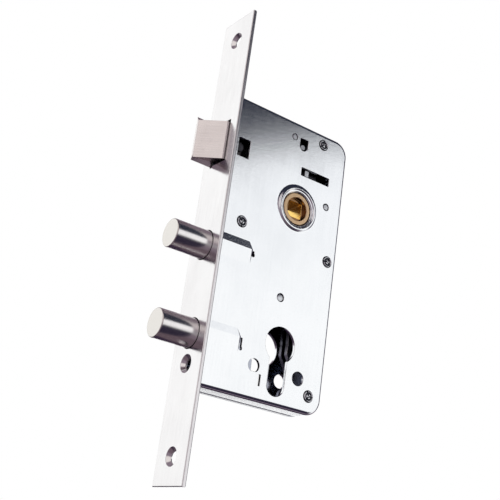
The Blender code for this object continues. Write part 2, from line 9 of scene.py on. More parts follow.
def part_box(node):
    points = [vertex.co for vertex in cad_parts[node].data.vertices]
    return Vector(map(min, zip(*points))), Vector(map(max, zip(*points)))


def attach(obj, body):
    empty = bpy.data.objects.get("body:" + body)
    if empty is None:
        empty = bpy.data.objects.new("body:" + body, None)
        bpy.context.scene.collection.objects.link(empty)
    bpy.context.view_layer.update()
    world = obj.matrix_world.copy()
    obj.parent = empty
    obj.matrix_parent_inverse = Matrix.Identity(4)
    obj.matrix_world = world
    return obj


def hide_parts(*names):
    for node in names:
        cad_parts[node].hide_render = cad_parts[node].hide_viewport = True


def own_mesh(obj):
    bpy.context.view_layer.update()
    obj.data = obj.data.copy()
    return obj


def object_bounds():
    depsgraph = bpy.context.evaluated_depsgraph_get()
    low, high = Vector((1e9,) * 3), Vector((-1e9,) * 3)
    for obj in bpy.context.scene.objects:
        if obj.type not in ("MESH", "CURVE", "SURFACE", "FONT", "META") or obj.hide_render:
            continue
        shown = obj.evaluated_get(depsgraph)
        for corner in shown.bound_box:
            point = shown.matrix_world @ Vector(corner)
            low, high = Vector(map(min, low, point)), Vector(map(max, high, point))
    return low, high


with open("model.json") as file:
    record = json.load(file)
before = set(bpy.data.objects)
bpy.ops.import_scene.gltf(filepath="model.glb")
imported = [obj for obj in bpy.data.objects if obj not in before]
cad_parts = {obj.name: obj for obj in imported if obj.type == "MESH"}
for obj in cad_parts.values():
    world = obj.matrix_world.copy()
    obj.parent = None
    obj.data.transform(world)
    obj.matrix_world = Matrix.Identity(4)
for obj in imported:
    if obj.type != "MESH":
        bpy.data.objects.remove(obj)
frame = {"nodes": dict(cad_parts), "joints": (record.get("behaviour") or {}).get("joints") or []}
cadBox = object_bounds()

mm = 0.001
nodes = frame["nodes"]
joints = {joint["name"]: joint for joint in frame["joints"]}
print("frame loaded:", len(nodes), "nodes")

# which way a flat outline's two numbers and its depth go, by the axis it is pushed along
planes = {
    "X": lambda a, b, depth: Vector((depth, a, b)),
    "Y": lambda a, b, depth: Vector((a, depth, b)),
    "Z": lambda a, b, depth: Vector((a, b, depth)),
}
ways = {"X": Vector((1, 0, 0)), "Y": Vector((0, 1, 0)), "Z": Vector((0, 0, 1))}
touch = 0.01 * mm  # nearer to a face than this counts as on it
weld = 2e-6  # corners nearer to each other than this become one
crease = 24  # degrees: flatter edges than this are shaded as one surface


def middleOf(node):
    low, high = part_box(node)
    return (low + high) / 2


# shaping

def block(low, high):
    bm = bmesh.new()
    bmesh.ops.create_cube(bm, size=1)
    low, high = Vector(low), Vector(high)
    bmesh.ops.scale(bm, vec=high - low, verts=bm.verts)
    bmesh.ops.translate(bm, vec=(low + high) / 2, verts=bm.verts)
    return bm


def plate(corners, along, low, high, steps=8):
    # corners are (a, b) or (a, b, radius), and the outline is pushed from low to high
    bm = bmesh.new()
    place = planes[along]
    verts = [bm.verts.new(place(c[0], c[1], low)) for c in corners]
    bm.faces.new(verts)
    count = len(corners)
    for k, corner in enumerate(corners):
        if len(corner) < 3 or not corner[2]:
            continue
        here = Vector(corner[:2])
        before = Vector(corners[k - 1][:2]) - here
        after = Vector(corners[(k + 1) % count][:2]) - here
        reach = corner[2] / math.tan(before.angle(after) / 2)
        bmesh.ops.bevel(bm, geom=[verts[k]], offset=reach, affect="VERTICES", segments=steps,
                        profile=0.5, material=-1)
    pushed = bmesh.ops.extrude_face_region(bm, geom=list(bm.faces))["geom"]
    moved = [v for v in pushed if isinstance(v, bmesh.types.BMVert)]
    bmesh.ops.translate(bm, vec=ways[along] * (high - low), verts=moved)
    bmesh.ops.recalc_face_normals(bm, faces=bm.faces)
    return bm


def rectangle(a0, a1, b0, b1, radius=0):
    return [(a0, b0, radius), (a1, b0, radius), (a1, b1, radius), (a0, b1, radius)]


def ordered(bm):
    # puts edges and faces in the order of their corners, so that every run gives the same
    bm.verts.index_update()
    count = len(bm.verts)

    def rank(part):
        total = 0
        for index in sorted(v.index for v in part.verts):
            total = total * count + index
        return total

    bm.edges.sort(key=rank)
    bm.faces.sort(key=rank)


def spun(profile, along, centre, steps=96, closed=False):
    # profile is (radius, distance) pairs, spun round the line along an axis through centre
    bm = bmesh.new()
    way = ways[along]
    out = ways["Z"] if along != "Z" else ways["X"]
    centre = Vector(centre)
    foot = centre - way * centre.dot(way)
    verts = [bm.verts.new(foot + out * radius + way * depth) for radius, depth in profile]
    edges = [bm.edges.new(pair) for pair in zip(verts, verts[1:])]
    if closed:
        edges.append(bm.edges.new((verts[-1], verts[0])))
    bmesh.ops.spin(bm, geom=verts + edges, cent=foot, axis=way, angle=2 * math.pi,
                   steps=steps, use_merge=True)
    bmesh.ops.remove_doubles(bm, verts=bm.verts, dist=1e-7)
    ordered(bm)
    bmesh.ops.recalc_face_normals(bm, faces=bm.faces)
    return bm


def rod(along, centre, radius, low, high, steps=64):
    return spun([(0, low), (radius, low), (radius, high), (0, high)], along, centre, steps)


def softened(bm, width, steps, test):
    # rounds the sharp edges whose two ends pass a test
    edges = [e for e in bm.edges if all(test(v.co) for v in e.verts)
             and len(e.link_faces) == 2 and e.calc_face_angle(0) > 0.5]
    bmesh.ops.bevel(bm, geom=edges, offset=width, affect="EDGES", segments=steps,
                    profile=0.5, material=-1)
    return bm


def slicedOff(bm, point, normal):
    # cuts away what lies on the normal's side of a plane and closes the cut
    geom = list(bm.verts) + list(bm.edges) + list(bm.faces)
    bmesh.ops.bisect_plane(bm, geom=geom, dist=1e-7, plane_co=point, plane_no=normal,
                           clear_outer=True)
    rim = [e for e in bm.edges if e.is_boundary]
    bmesh.ops.edgeloop_fill(bm, edges=rim)
    bmesh.ops.recalc_face_normals(bm, faces=bm.faces)
    return bm


def asObject(name, bm):
    mesh = bpy.data.meshes.new(name)
    bm.to_mesh(mesh)
    bm.free()
    made = bpy.data.objects.new(name, mesh)
    bpy.context.scene.collection.objects.link(made)
    return made


def worked(bm, tools, operation="DIFFERENCE"):
    # takes tools away from a shape, or joins them to it
    body = asObject("body", bm)
    rack = bpy.data.collections.new("rack")
    bpy.context.scene.collection.children.link(rack)
    helpers = [asObject("tool", tool) for tool in tools]
    for helper in helpers:
        rack.objects.link(helper)
    change = body.modifiers.new("work", "BOOLEAN")
    change.operation = operation
    change.solver = "EXACT"
    change.operand_type = "COLLECTION"
    change.collection = rack
    seen = body.evaluated_get(bpy.context.evaluated_depsgraph_get())
    done = bmesh.new()
    done.from_mesh(seen.to_mesh())
    seen.to_mesh_clear()
    for old in [body] + helpers:
        mesh = old.data
        bpy.data.objects.remove(old)
        bpy.data.meshes.remove(mesh)
    bpy.data.collections.remove(rack)
    bmesh.ops.remove_doubles(done, verts=done.verts, dist=weld)
    bmesh.ops.dissolve_limit(done, angle_limit=math.radians(0.5), verts=done.verts,
                             edges=done.edges)
    return done


def finished(name, bm, body, finish, stands, edge=0.0, steps=2, crisp=None):
    # a piece that rides on a body and stands for CAD nodes, with its sharp edges eased;
    # where crisp says so, a low ridge stays a line too
    for line in bm.edges:
        turn = math.degrees(line.calc_face_angle(math.pi))
        low = crisp is not None and turn > 1 and all(crisp(v.co) for v in line.verts)
        line.smooth = turn < crease and not low
    for face in bm.faces:
        face.smooth = True
    piece = asObject(name, bm)
    piece.data.materials.append(finish)
    if edge:
        ease = piece.modifiers.new("ease", "BEVEL")
        ease.width = edge
        ease.segments = steps
        ease.limit_method = "ANGLE"
        ease.angle_limit = math.radians(crease)
        ease.use_clamp_overlap = False
    level = piece.modifiers.new("level", "WEIGHTED_NORMAL")
    level.keep_sharp = True
    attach(piece, body)
    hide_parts(*stands)
    return piece


# finishes

class Link:
    # a shader socket that takes part in sums: each sum adds a Math node
    def __init__(self, finish, socket):
        self.finish = finish
        self.socket = socket

    def sum(self, operation, first, second):
        return self.finish.node("Math", {"operation": operation}, {0: first, 1: second})

    def __add__(self, other):
        return self.sum("ADD", self, other)

    def __sub__(self, other):
        return self.sum("SUBTRACT", self, other)

    def __mul__(self, other):
        return self.sum("MULTIPLY", self, other)

    def __rsub__(self, other):
        return self.sum("SUBTRACT", other, self)

    __radd__ = __add__
    __rmul__ = __mul__


class Finish:
    # a material, or the world, and one way to add any node to it
    def __init__(self, owner):
        owner.use_nodes = True
        self.owner = owner
        self.tree = owner.node_tree

    def node(self, kind, settings=None, sockets=None, output=0):
        made = self.tree.nodes.new("ShaderNode" + kind)
        for key, value in (settings or {}).items():
            setattr(made, key, value)
        for key, value in (sockets or {}).items():
            if isinstance(value, Link):
                self.tree.links.new(value.socket, made.inputs[key])
            else:
                made.inputs[key].default_value = value
        return Link(self, made.outputs[output])

    def mixed(self, share, first, second, blend="MIX"):
        # inputs 6 and 7 of a Mix node are its two colours
        return self.node("Mix", {"data_type": "RGBA", "blend_type": blend, "clamp_factor": True},
                         {0: share, 6: first, 7: second}, 2)

    def place(self, scale=(1, 1, 1), shift=(0, 0, 0), turn=(0, 0, 0)):
        here = self.node("TexCoord", {}, {}, 3)
        return self.node("Mapping", {"vector_type": "TEXTURE"},
                         {"Vector": here, "Location": shift, "Rotation": turn, "Scale": scale})

    def grain(self, scale, detail=3, rough=0.55, shift=(0, 0, 0), turn=(0, 0, 0)):
        # noise whose features are about as long as scale says in each direction, in metres
        return self.node("TexNoise", {"noise_dimensions": "3D"},
                         {"Vector": self.place(scale, shift, turn), "Scale": 1.0,
                          "Detail": detail, "Roughness": rough})

    def step(self, value, low, high, first=0.0, last=1.0):
        return self.node("MapRange", {"interpolation_type": "SMOOTHSTEP", "clamp": True},
                         {0: value, 1: low, 2: high, 3: first, 4: last})

    def depth(self, axis, scale=1.0):
        here = self.node("TexCoord", {}, {}, 3)
        return self.node("SeparateXYZ", {}, {0: here}, "XYZ".index(axis)) * scale

    def size(self, value):
        return self.node("Math", {"operation": "ABSOLUTE"}, {0: value})

    def bumps(self, height, depth):
        return self.node("Bump", {}, {"Strength": 1.0, "Distance": depth, "Height": height})

    def fed(self, name):
        # what feeds one of the surface's sockets so far
        surface = self.tree.nodes["Principled BSDF"]
        return Link(self, surface.inputs[name].links[0].from_socket)

    def feed(self, name, value):
        socket = self.tree.nodes["Principled BSDF"].inputs[name]
        if isinstance(value, Link):
            self.tree.links.new(value.socket, socket)
        else:
            socket.default_value = value


def metal(name, colour, darker, rough, roughSpread, parts):
    # parts is a function that gives the wear, from 0 to 1, the bumps' pattern and their depth
    finish = Finish(bpy.data.materials.new(name))
    wear, height, bumpDepth = parts(finish)
    finish.feed("Base Color", finish.mixed(wear, (*colour, 1), (*darker, 1)))
    finish.feed("Metallic", 1.0)
    finish.feed("Roughness", wear * roughSpread + rough)
    finish.feed("Normal", finish.bumps(height, bumpDepth))
    return finish.owner


nickel = {
    "colour": (0.86, 0.855, 0.855),
    "darker": (0.75, 0.74, 0.74),
    "lineLength": 26 * mm,
    "lineWidth": 0.22 * mm,
    "bumpDepth": 0.004 * mm,
}


def brushedNickel(name, along, rough, colour=nickel["colour"], darker=nickel["darker"],
                  depth=nickel["bumpDepth"], turn=(0, 0, 0)):
    # ground lines that run along one axis, turned or not, and faint handling marks
    def parts(finish):
        long, thin = nickel["lineLength"], nickel["lineWidth"]
        lines = finish.grain([long if axis == along else thin for axis in "XYZ"], 4, 0.6,
                             turn=turn)
        fine = finish.grain([long / 4 if axis == along else thin / 2.5 for axis in "XYZ"], 2,
                            turn=turn)
        clouds = finish.grain((14 * mm, 14 * mm, 22 * mm), 2)
        handled = finish.grain((3 * mm, 3 * mm, 7 * mm), 5, 0.7, (0.3, 0, 0))
        marks = finish.step(handled, 0.56, 0.74)
        ground = finish.step(lines * 0.55 + fine * 0.25 + clouds * 0.35, 0.4, 0.8)
        return ground * 0.7 + marks * 0.3, lines * 0.7 + fine * 0.3, depth

    return metal(name, colour, darker, rough, 0.12, parts)


def recoloured(share, colour):
    # what a share from 0 to 1 picks out gets another colour, flat or a pattern
    finish = share.finish
    colour = colour if isinstance(colour, Link) else (*colour, 1)
    finish.feed("Base Color", finish.mixed(share, finish.fed("Base Color"), colour))


def speckled(finish, scale, colour, darkest, detail, rough):
    pattern = finish.grain(scale, detail, rough)
    return finish.mixed(pattern, (*colour, 1), (*(darkest * part for part in colour), 1))


def shadedBehind(material, depth, colour):
    # painted shade: past a depth into the case the surface is painted near black
    finish = Finish(material)
    recoloured(finish.step(finish.depth("X"), depth, depth + 0.4 * mm), colour)


def creamEnd(material, depth, colour):
    # the bolt's sawn and tumbled end is duller than its side
    finish = Finish(material)
    end = finish.step(finish.depth("X"), depth, depth + 0.3 * mm, 1.0, 0.0)
    recoloured(end, speckled(finish, (0.5 * mm, 0.5 * mm, 0.5 * mm), colour, 0.88, 4, 0.7))


def turnedNickel(name, node, rough):
    # a lathe's rings round the bolt's own axis, also on its flat end
    low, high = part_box(node)
    axis = (low + high) / 2

    def parts(finish):
        centred = finish.place((1, 1, 1), (0, 0, axis.z))
        across = finish.node("VectorMath", {"operation": "MULTIPLY"}, {0: centred, 1: (0, 1, 1)})
        radius = finish.node("VectorMath", {"operation": "LENGTH"}, {0: across}, 1)
        depth = finish.node("SeparateXYZ", {}, {0: centred}, 0)
        spread = finish.node("CombineXYZ", {}, {0: depth * 7000, 1: radius * 5000, 2: 0.5})
        rings = finish.node("TexNoise", {"noise_dimensions": "3D"},
                            {"Vector": spread, "Scale": 1.0, "Detail": 3.0, "Roughness": 0.6})
        streaks = finish.grain((16 * mm, 0.7 * mm, 0.7 * mm), 3)
        scuffs = finish.step(finish.grain((2 * mm, 2 * mm, 2 * mm), 5, 0.7), 0.57, 0.75)
        wear = finish.step(rings * 0.6 + streaks * 0.5, 0.42, 0.78) * 0.65 + scuffs * 0.25
        return wear, rings, 0.003 * mm

    return metal(name, (0.84, 0.815, 0.81), (0.71, 0.68, 0.68), rough, 0.1, parts)


def insideCase(material):
    # 1 within the case's walls, 0 on its outer faces
    finish = Finish(material)
    low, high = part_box("case_body")
    wall, half, fade = 1.0 * mm, 6.6 * mm, 0.15 * mm
    share = 1.0
    for axis, least, most in (("X", low.x + wall, high.x - wall), ("Y", -half, half),
                              ("Z", low.z + wall, high.z - wall)):
        place = finish.depth(axis)
        above = finish.step(place, least, least + fade)
        share = above * finish.step(place, most - fade, most, 1.0, 0.0) * share
    return share


def zincSheet(name, rough=0.07):
    # cold rolled sheet with zinc on it: fine salt and pepper grain, faint rolling lines
    def parts(finish):
        grain = finish.grain((0.55 * mm, 0.55 * mm, 0.55 * mm), 3, 0.7)
        peel = finish.grain((1.4 * mm, 1.4 * mm, 1.4 * mm), 2)
        rolled = finish.grain((1.1 * mm, 1.1 * mm, 40 * mm), 3, 0.6)
        clouds = finish.grain((26 * mm, 26 * mm, 26 * mm), 3, 0.5)
        marks = finish.step(finish.grain((2.5 * mm, 2.5 * mm, 2.5 * mm), 6, 0.75, (0, 0.4, 0)),
                            0.58, 0.74)
        spangle = finish.step(grain * 0.45 + rolled * 0.2 + clouds * 0.45, 0.4, 0.72)
        return spangle * 0.75 + marks * 0.25, grain * 0.65 + peel * 0.35, 0.018 * mm

    return metal(name, (0.87, 0.885, 0.9), (0.79, 0.81, 0.83), rough, 0.08, parts)


def millSteel(name, colour, darker, rough=0.34):
    # stamped and tumbled small parts
    def parts(finish):
        grain = finish.grain((0.4 * mm, 0.4 * mm, 0.4 * mm), 3, 0.65)
        patches = finish.grain((4 * mm, 4 * mm, 4 * mm), 4, 0.6)
        wear = finish.step(grain * 0.4 + patches * 0.6, 0.38, 0.68)
        return wear, grain, 0.006 * mm

    return metal(name, colour, darker, rough, 0.18, parts)


bronzeSizes = {
    "face": (7.35 * mm, 7.6 * mm),
    "square": (4.05 * mm, 4.2 * mm),
    "bumpDepth": 0.01 * mm,
}


def sinteredBronze(name):
    # pressed powder: speckled and slightly open, paler where the faces were sized; brown painted
    # shade where the bronze lies below its outer faces, outside the square hole
    centre = joints["follower_turn"]["pos_m"]
    finish = Finish(bpy.data.materials.new(name))
    pores = finish.step(finish.grain((0.35 * mm, 0.35 * mm, 0.35 * mm), 3, 0.7), 0.6, 0.72)
    patches = finish.grain((2.2 * mm, 2.2 * mm, 2.2 * mm), 3)
    onFace = finish.step(finish.size(finish.depth("Y")), *bronzeSizes["face"])
    aside = finish.size(finish.depth("X") - centre[0])
    above = finish.size(finish.depth("Z") - centre[2])
    far = finish.node("Math", {"operation": "MAXIMUM"}, {0: aside, 1: above})
    outside = finish.step(far, *bronzeSizes["square"])
    gold = finish.mixed(patches, (1.0, 0.7, 0.22, 1), (0.94, 0.6, 0.15, 1))
    # painted shade: brown on the counterbore floor and the recessed parts outside the square
    shadedBrown = finish.mixed(patches, (0.36, 0.2, 0.09, 1), (0.25, 0.13, 0.06, 1))
    tan = finish.mixed(patches, (0.84, 0.61, 0.38, 1), (0.7, 0.47, 0.27, 1))
    tone = finish.mixed(onFace, finish.mixed(outside, gold, shadedBrown), tan)
    finish.feed("Base Color", finish.mixed(pores * 0.75, tone, (0.3, 0.17, 0.07, 1)))
    finish.feed("Metallic", 1.0)
    finish.feed("Roughness", pores * 0.3 + onFace * 0.12 + 0.22)
    # the outer faces carry faint turning marks
    centred = finish.place((1, 1, 1), (centre[0], 0, centre[2]))
    across = finish.node("VectorMath", {"operation": "MULTIPLY"}, {0: centred, 1: (1, 0, 1)})
    radius = finish.node("VectorMath", {"operation": "LENGTH"}, {0: across}, 1)
    rings = finish.node("Math", {"operation": "SINE"}, {0: radius * 16000})
    pattern = (1 - pores) + rings * onFace * 0.12
    finish.feed("Normal", finish.bumps(pattern, bronzeSizes["bumpDepth"]))
    return finish.owner


def rolledEdges(material, edge, colour):
    # the narrow long sides weren't ground: duller and darker than the face
    finish = Finish(material)
    side = finish.step(finish.size(finish.depth("Y")), edge - 0.08 * mm, edge)
    recoloured(side, speckled(finish, (0.6 * mm, 0.6 * mm, 9 * mm), colour, 0.72, 4, 0.65))
    finish.feed("Roughness", finish.fed("Roughness") + side * 0.06)


def stakedSteel(name):
    # bright where the stake struck, darkened to near black in its groove, notches and below the
    # head
    material = millSteel(name, (0.85, 0.86, 0.88), (0.6, 0.62, 0.66), 0.24)
    finish = Finish(material)
    uneven = finish.grain((0.5 * mm, 0.5 * mm, 0.5 * mm), 2) * (0.1 * mm)
    height = finish.size(finish.depth("Y")) + uneven
    recoloured(finish.step(height, 8.1 * mm, 8.22 * mm, 1.0, 0.0), (0.035, 0.04, 0.05))
    return material


paleSteel, greySteel = (0.74, 0.755, 0.78), (0.42, 0.44, 0.48)
forendNickel = brushedNickel("forendNickel", "Z", 0.15)
rolledEdges(forendNickel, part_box("forend")[1].y - 0.03 * mm, (0.84, 0.815, 0.83))
latchNickel = brushedNickel("latchNickel", "X", 0.24, (0.84, 0.8, 0.785), (0.68, 0.64, 0.63),
                            0.01 * mm, (0, 0, -math.pi / 4))
# painted shade on the latch where it runs inside the case
shadedBehind(latchNickel, 2.6 * mm, (0.09, 0.085, 0.09))
upperBoltNickel = turnedNickel("upperBoltNickel", "upper_bolt", 0.2)
lowerBoltNickel = turnedNickel("lowerBoltNickel", "lower_bolt", 0.2)
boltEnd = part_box("upper_bolt")[0].x + 0.3 * mm
for boltNickel in (upperBoltNickel, lowerBoltNickel):
    creamEnd(boltNickel, boltEnd, (0.78, 0.755, 0.715))
coverZinc = zincSheet("coverZinc")
recoloured(insideCase(coverZinc), (0.4, 0.42, 0.48))  # painted shade: darker and bluer within the case's walls
leverZinc = zincSheet("leverZinc", 0.3)
postSteel = millSteel("postSteel", paleSteel, greySteel, 0.28)
staked = stakedSteel("stakedSteel")
innerSteel = millSteel("innerSteel", (0.62, 0.64, 0.7), (0.4, 0.41, 0.46), 0.36)
studSteel = millSteel("studSteel", paleSteel, greySteel, 0.28)
# painted shade: the tail guide is painted near black within the case's walls
recoloured(insideCase(studSteel), (0.1, 0.105, 0.125))
springSteel = millSteel("springSteel", (0.4, 0.4, 0.42), (0.24, 0.24, 0.26), 0.26)
# painted shade: the latch rivet, deep behind the latch window, is painted near black
shadeBlackSteel = millSteel("shadeBlackSteel", (0.1, 0.1, 0.11), (0.05, 0.05, 0.06), 0.3)
bronze = sinteredBronze("bronze")
print("finishes made")


# forend

forendSizes = {
    "frontEdge": 0.4 * mm,
    "backEdge": 0.85 * mm,
    "seat": 0.3 * mm,
    "seatHalf": 8.1 * mm,
    "seatRoom": 0.3 * mm,
    "screwInset": 12.8 * mm,
    "screwR": 2.7 * mm,
    "sinkR": 4.4 * mm,
    "sinkDepth": 1.7 * mm,
    "boltGap": 0.42 * mm,
    "latchGap": 0.4 * mm,
    "latchNearGap": 0.7 * mm,
    "latchStep": 1.0 * mm,
    "holeCorner": 0.3 * mm,
    "cylinderScrew": -63.26 * mm,
}


def makeForend():
    size = forendSizes
    low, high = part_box("forend")
    bm = block(low, high)
    softened(bm, size["frontEdge"], 5, lambda p: p.x < low.x + touch)
    softened(bm, size["backEdge"], 5, lambda p: p.x > high.x - touch)
    caseLow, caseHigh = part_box("back_plate")
    reach = 1 * mm
    back, seatHalf, room = high.x, size["seatHalf"], size["seatRoom"]
    tools = [block((back - size["seat"], -seatHalf, caseLow.z - room),
                   (back + reach, seatHalf, caseHigh.z + room))]
    slope = (size["sinkR"] - size["screwR"]) / size["sinkDepth"]
    mouth = low.x - reach
    for z in (high.z - size["screwInset"], low.z + size["screwInset"], size["cylinderScrew"]):
        profile = [(0, mouth), (size["sinkR"] + slope * reach, mouth),
                   (size["screwR"], low.x + size["sinkDepth"]), (size["screwR"], back + reach),
                   (0, back + reach)]
        tools.append(spun(profile, "X", (0, 0, z), 72))
    for bolt in ("upper_bolt", "lower_bolt"):
        boltLow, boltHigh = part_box(bolt)
        radius = (boltHigh.z - boltLow.z) / 2 + size["boltGap"]
        tools.append(rod("X", middleOf(bolt), radius, mouth, back + reach, 96))
    # the latch's hole is taller on the far side, where the latch's back strip runs
    latchLow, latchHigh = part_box("latch_head")
    gap, step, corner = size["latchGap"], size["latchStep"], size["holeCorner"]
    near, far = latchLow.y - size["latchNearGap"], latchHigh.y + gap
    notch = far - step - gap
    bottom, top = latchLow.z - gap, latchHigh.z + gap
    nearBottom, nearTop = latchLow.z + step - gap, latchHigh.z - step + gap
    hole = [(near, nearBottom, corner), (notch - step / 2, nearBottom, 0), (notch, bottom, 0),
            (far, bottom, corner), (far, top, corner), (notch, top, 0),
            (notch - step / 2, nearTop, 0), (near, nearTop, corner)]
    tools.append(plate(hole, "X", mouth, back + reach, 4))
    bm = worked(bm, tools)
    return finished("forendPlate", bm, "case", forendNickel, ["forend"], 0.1 * mm)


makeForend()
print("forend made")


# case

caseSizes = {
    "sheet": 1.5 * mm,
    "half": 7.8 * mm,
    "corner": 8 * mm,
    "seam": (2.6 * mm, 4.6 * mm),
    "seamDepth": 0.9 * mm,
    "bend": 2.0 * mm,
    "innerBend": 0.6 * mm,
    "backBend": 0.35 * mm,
    "windowCorner": 0.3 * mm,
    "slotCorner": 0.35 * mm,
    "lanceCorner": 0.2 * mm,
    "postR": 2.6 * mm,
    "hubR": 8.2 * mm,
    "stopPinHoleR": 1.9 * mm,
    "studHole": (44.4 * mm, 59.6 * mm, 2.2 * mm),
    "latchRoom": (0.3 * mm, 0.4 * mm),
    "bulgeEnd": 22.3 * mm,
    "boltRoom": 0.5 * mm,
    "hubRoom": 0.4 * mm,
    "postRoom": 0.3 * mm,
    "handleScrew": (57.6 * mm, -57.7 * mm, 3.4 * mm),
    "roundOpening": (31.5 * mm, -57.3 * mm, 3.2 * mm),
    "roundOpeningShut": 0.88,
    "lugSlot": (44.8 * mm, 63 * mm, 44.2 * mm, 48.6 * mm),
    "latchWindow": (5.6 * mm, 12.4 * mm, 40.5 * mm, 50.1 * mm),
    "studWindow": (41.9 * mm, 47.1 * mm, 58.9 * mm, 64.0 * mm),
    "lance": (34.9 * mm, 36.1 * mm, -66.1 * mm, -60.8 * mm),
    "cylinder": (45 * mm, -44.26 * mm, 8.7 * mm),
    "cylinderLeg": (5.2 * mm, 19.5 * mm),
}
hub = Vector(joints["follower_turn"]["pos_m"])
posts = ["post_top", "post_front", "post_rear", "post_bottom"]
pinRadii = {"tail_guide_pin": 1.5 * mm, "plate_guide_pin": 1.8 * mm}


def sideTools(low, high):
    # what both sides of the case have: post and pin holes, hub hole, slot, cylinder cutout
    size = caseSizes
    tools = []
    for post in posts:
        tools.append(rod("Y", middleOf(post), size["postR"] + size["postRoom"], low, high, 48))
    for pin, radius in pinRadii.items():
        tools.append(rod("Y", middleOf(pin), radius + size["postRoom"], low, high, 40))
    tools.append(rod("Y", hub, size["hubR"] + size["hubRoom"], low, high, 96))
    x, z, radius = size["handleScrew"]
    tools.append(rod("Y", (x, 0, z), radius, low, high, 56))
    tools.append(plate(rectangle(*size["lugSlot"], size["slotCorner"]), "Y", low, high, 3))
    x, z, radius = size["cylinder"]
    tools.append(rod("Y", (x, 0, z), radius, low, high, 96))
    half, drop = size["cylinderLeg"]
    end = z - drop - half
    turn = half * 0.999  # just short of a full half circle, so that the two corners don't meet
    leg = [(x - half, z, 0), (x - half, end, turn), (x + half, end, turn), (x + half, z, 0)]
    tools.append(plate(leg, "Y", low, high, 24))
    return tools


bulgeSizes = {
    "top": 6.4 * mm,
    "ridge": 2.9 * mm,
    "foot": -4.6 * mm,
    "rise": 0.32 * mm,
    "noseBack": 2.5 * mm,
    "footBack": 0.8 * mm,
    "crestBack": 0.9 * mm,
    "sunk": 0.9 * mm,
    "front": 0.3 * mm,
    "slitWidth": 0.55 * mm,
    "slitPast": 0.5 * mm,
    "slitCorner": 0.4 * mm,
    "slitEndR": 0.9 * mm,
    "slits": {"upper_bolt": (-0.5 * mm, 2.3 * mm), "lower_bolt": (-3.2 * mm, 2.6 * mm)},
}


def bulge(side, bolt):
    # a low swelling over a bolt: a short slope above its ridge, a long one below, a cut nose
    size = bulgeSizes
    half, z = caseSizes["half"], middleOf(bolt).z
    front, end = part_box("case_body")[0].x + size["front"], caseSizes["bulgeEnd"]
    inside = half - size["sunk"]
    section = [(side * inside, z + size["top"]), (side * half, z + size["top"]),
               (side * (half + size["rise"]), z + size["ridge"]), (side * half, z + size["foot"]),
               (side * inside, z + size["foot"])]
    bm = plate(section, "X", front, end)
    crest = Vector((end - size["crestBack"], side * (half + size["rise"]), z + size["ridge"]))
    tip = Vector((end, side * half, z + size["ridge"]))
    for corner in (Vector((end - size["noseBack"], side * half, z + size["top"])),
                   Vector((end - size["footBack"], side * half, z + size["foot"]))):
        slope = (crest - tip).cross(corner - tip).normalized()
        slicedOff(bm, tip, slope if slope.x > 0 else -slope)
    return bm


def byBulge(p):
    # on the low ridges of either bulge
    room = 0.1 * mm
    low, high = bulgeSizes["foot"] - room, bulgeSizes["top"] + room
    outside = abs(p.y) > caseSizes["half"] - touch
    return outside and p.x < caseSizes["bulgeEnd"] + bulgeSizes["slitPast"] and any(
        low < p.z - middleOf(bolt).z < high for bolt in bulgeSizes["slits"])


def boltRoom(bolt):
    boltLow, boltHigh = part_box(bolt)
    radius = (boltHigh.z - boltLow.z) / 2 + caseSizes["boltRoom"]
    return rod("X", middleOf(bolt), radius, 1 * mm, caseSizes["bulgeEnd"] - caseSizes["sheet"], 96)


# radius and height of the rolled lip round the follower: a slope up to a round crest, then
# down to the hub, in millimetres
collarStations = [
    (13.1, 7.0), (13.0, 7.78), (12.3, 7.83), (11.8, 7.93), (11.5, 8.15), (11.32, 8.5),
    (11.1, 8.75), (10.75, 8.88), (10.35, 8.9), (10.1, 8.82), (9.92, 8.6), (9.75, 8.36),
    (9.5, 8.3), (9.1, 8.28), (8.9, 8.1), (8.78, 7.7), (8.78, 7.0),
]


def collar(side):
    profile = [(radius * mm, side * depth * mm) for radius, depth in collarStations]
    return spun(profile, "Y", hub, 128, closed=True)


def caseOutline(inset=0.0, front=None):
    # the case's side as seen from the near side, square at the forend and round at the rear
    low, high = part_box("case_body")
    corner = caseSizes["corner"] - inset
    front = low.x if front is None else front
    return [(front, low.z + inset), (high.x - inset, low.z + inset, corner),
            (high.x - inset, high.z - inset, corner), (front, high.z - inset)]


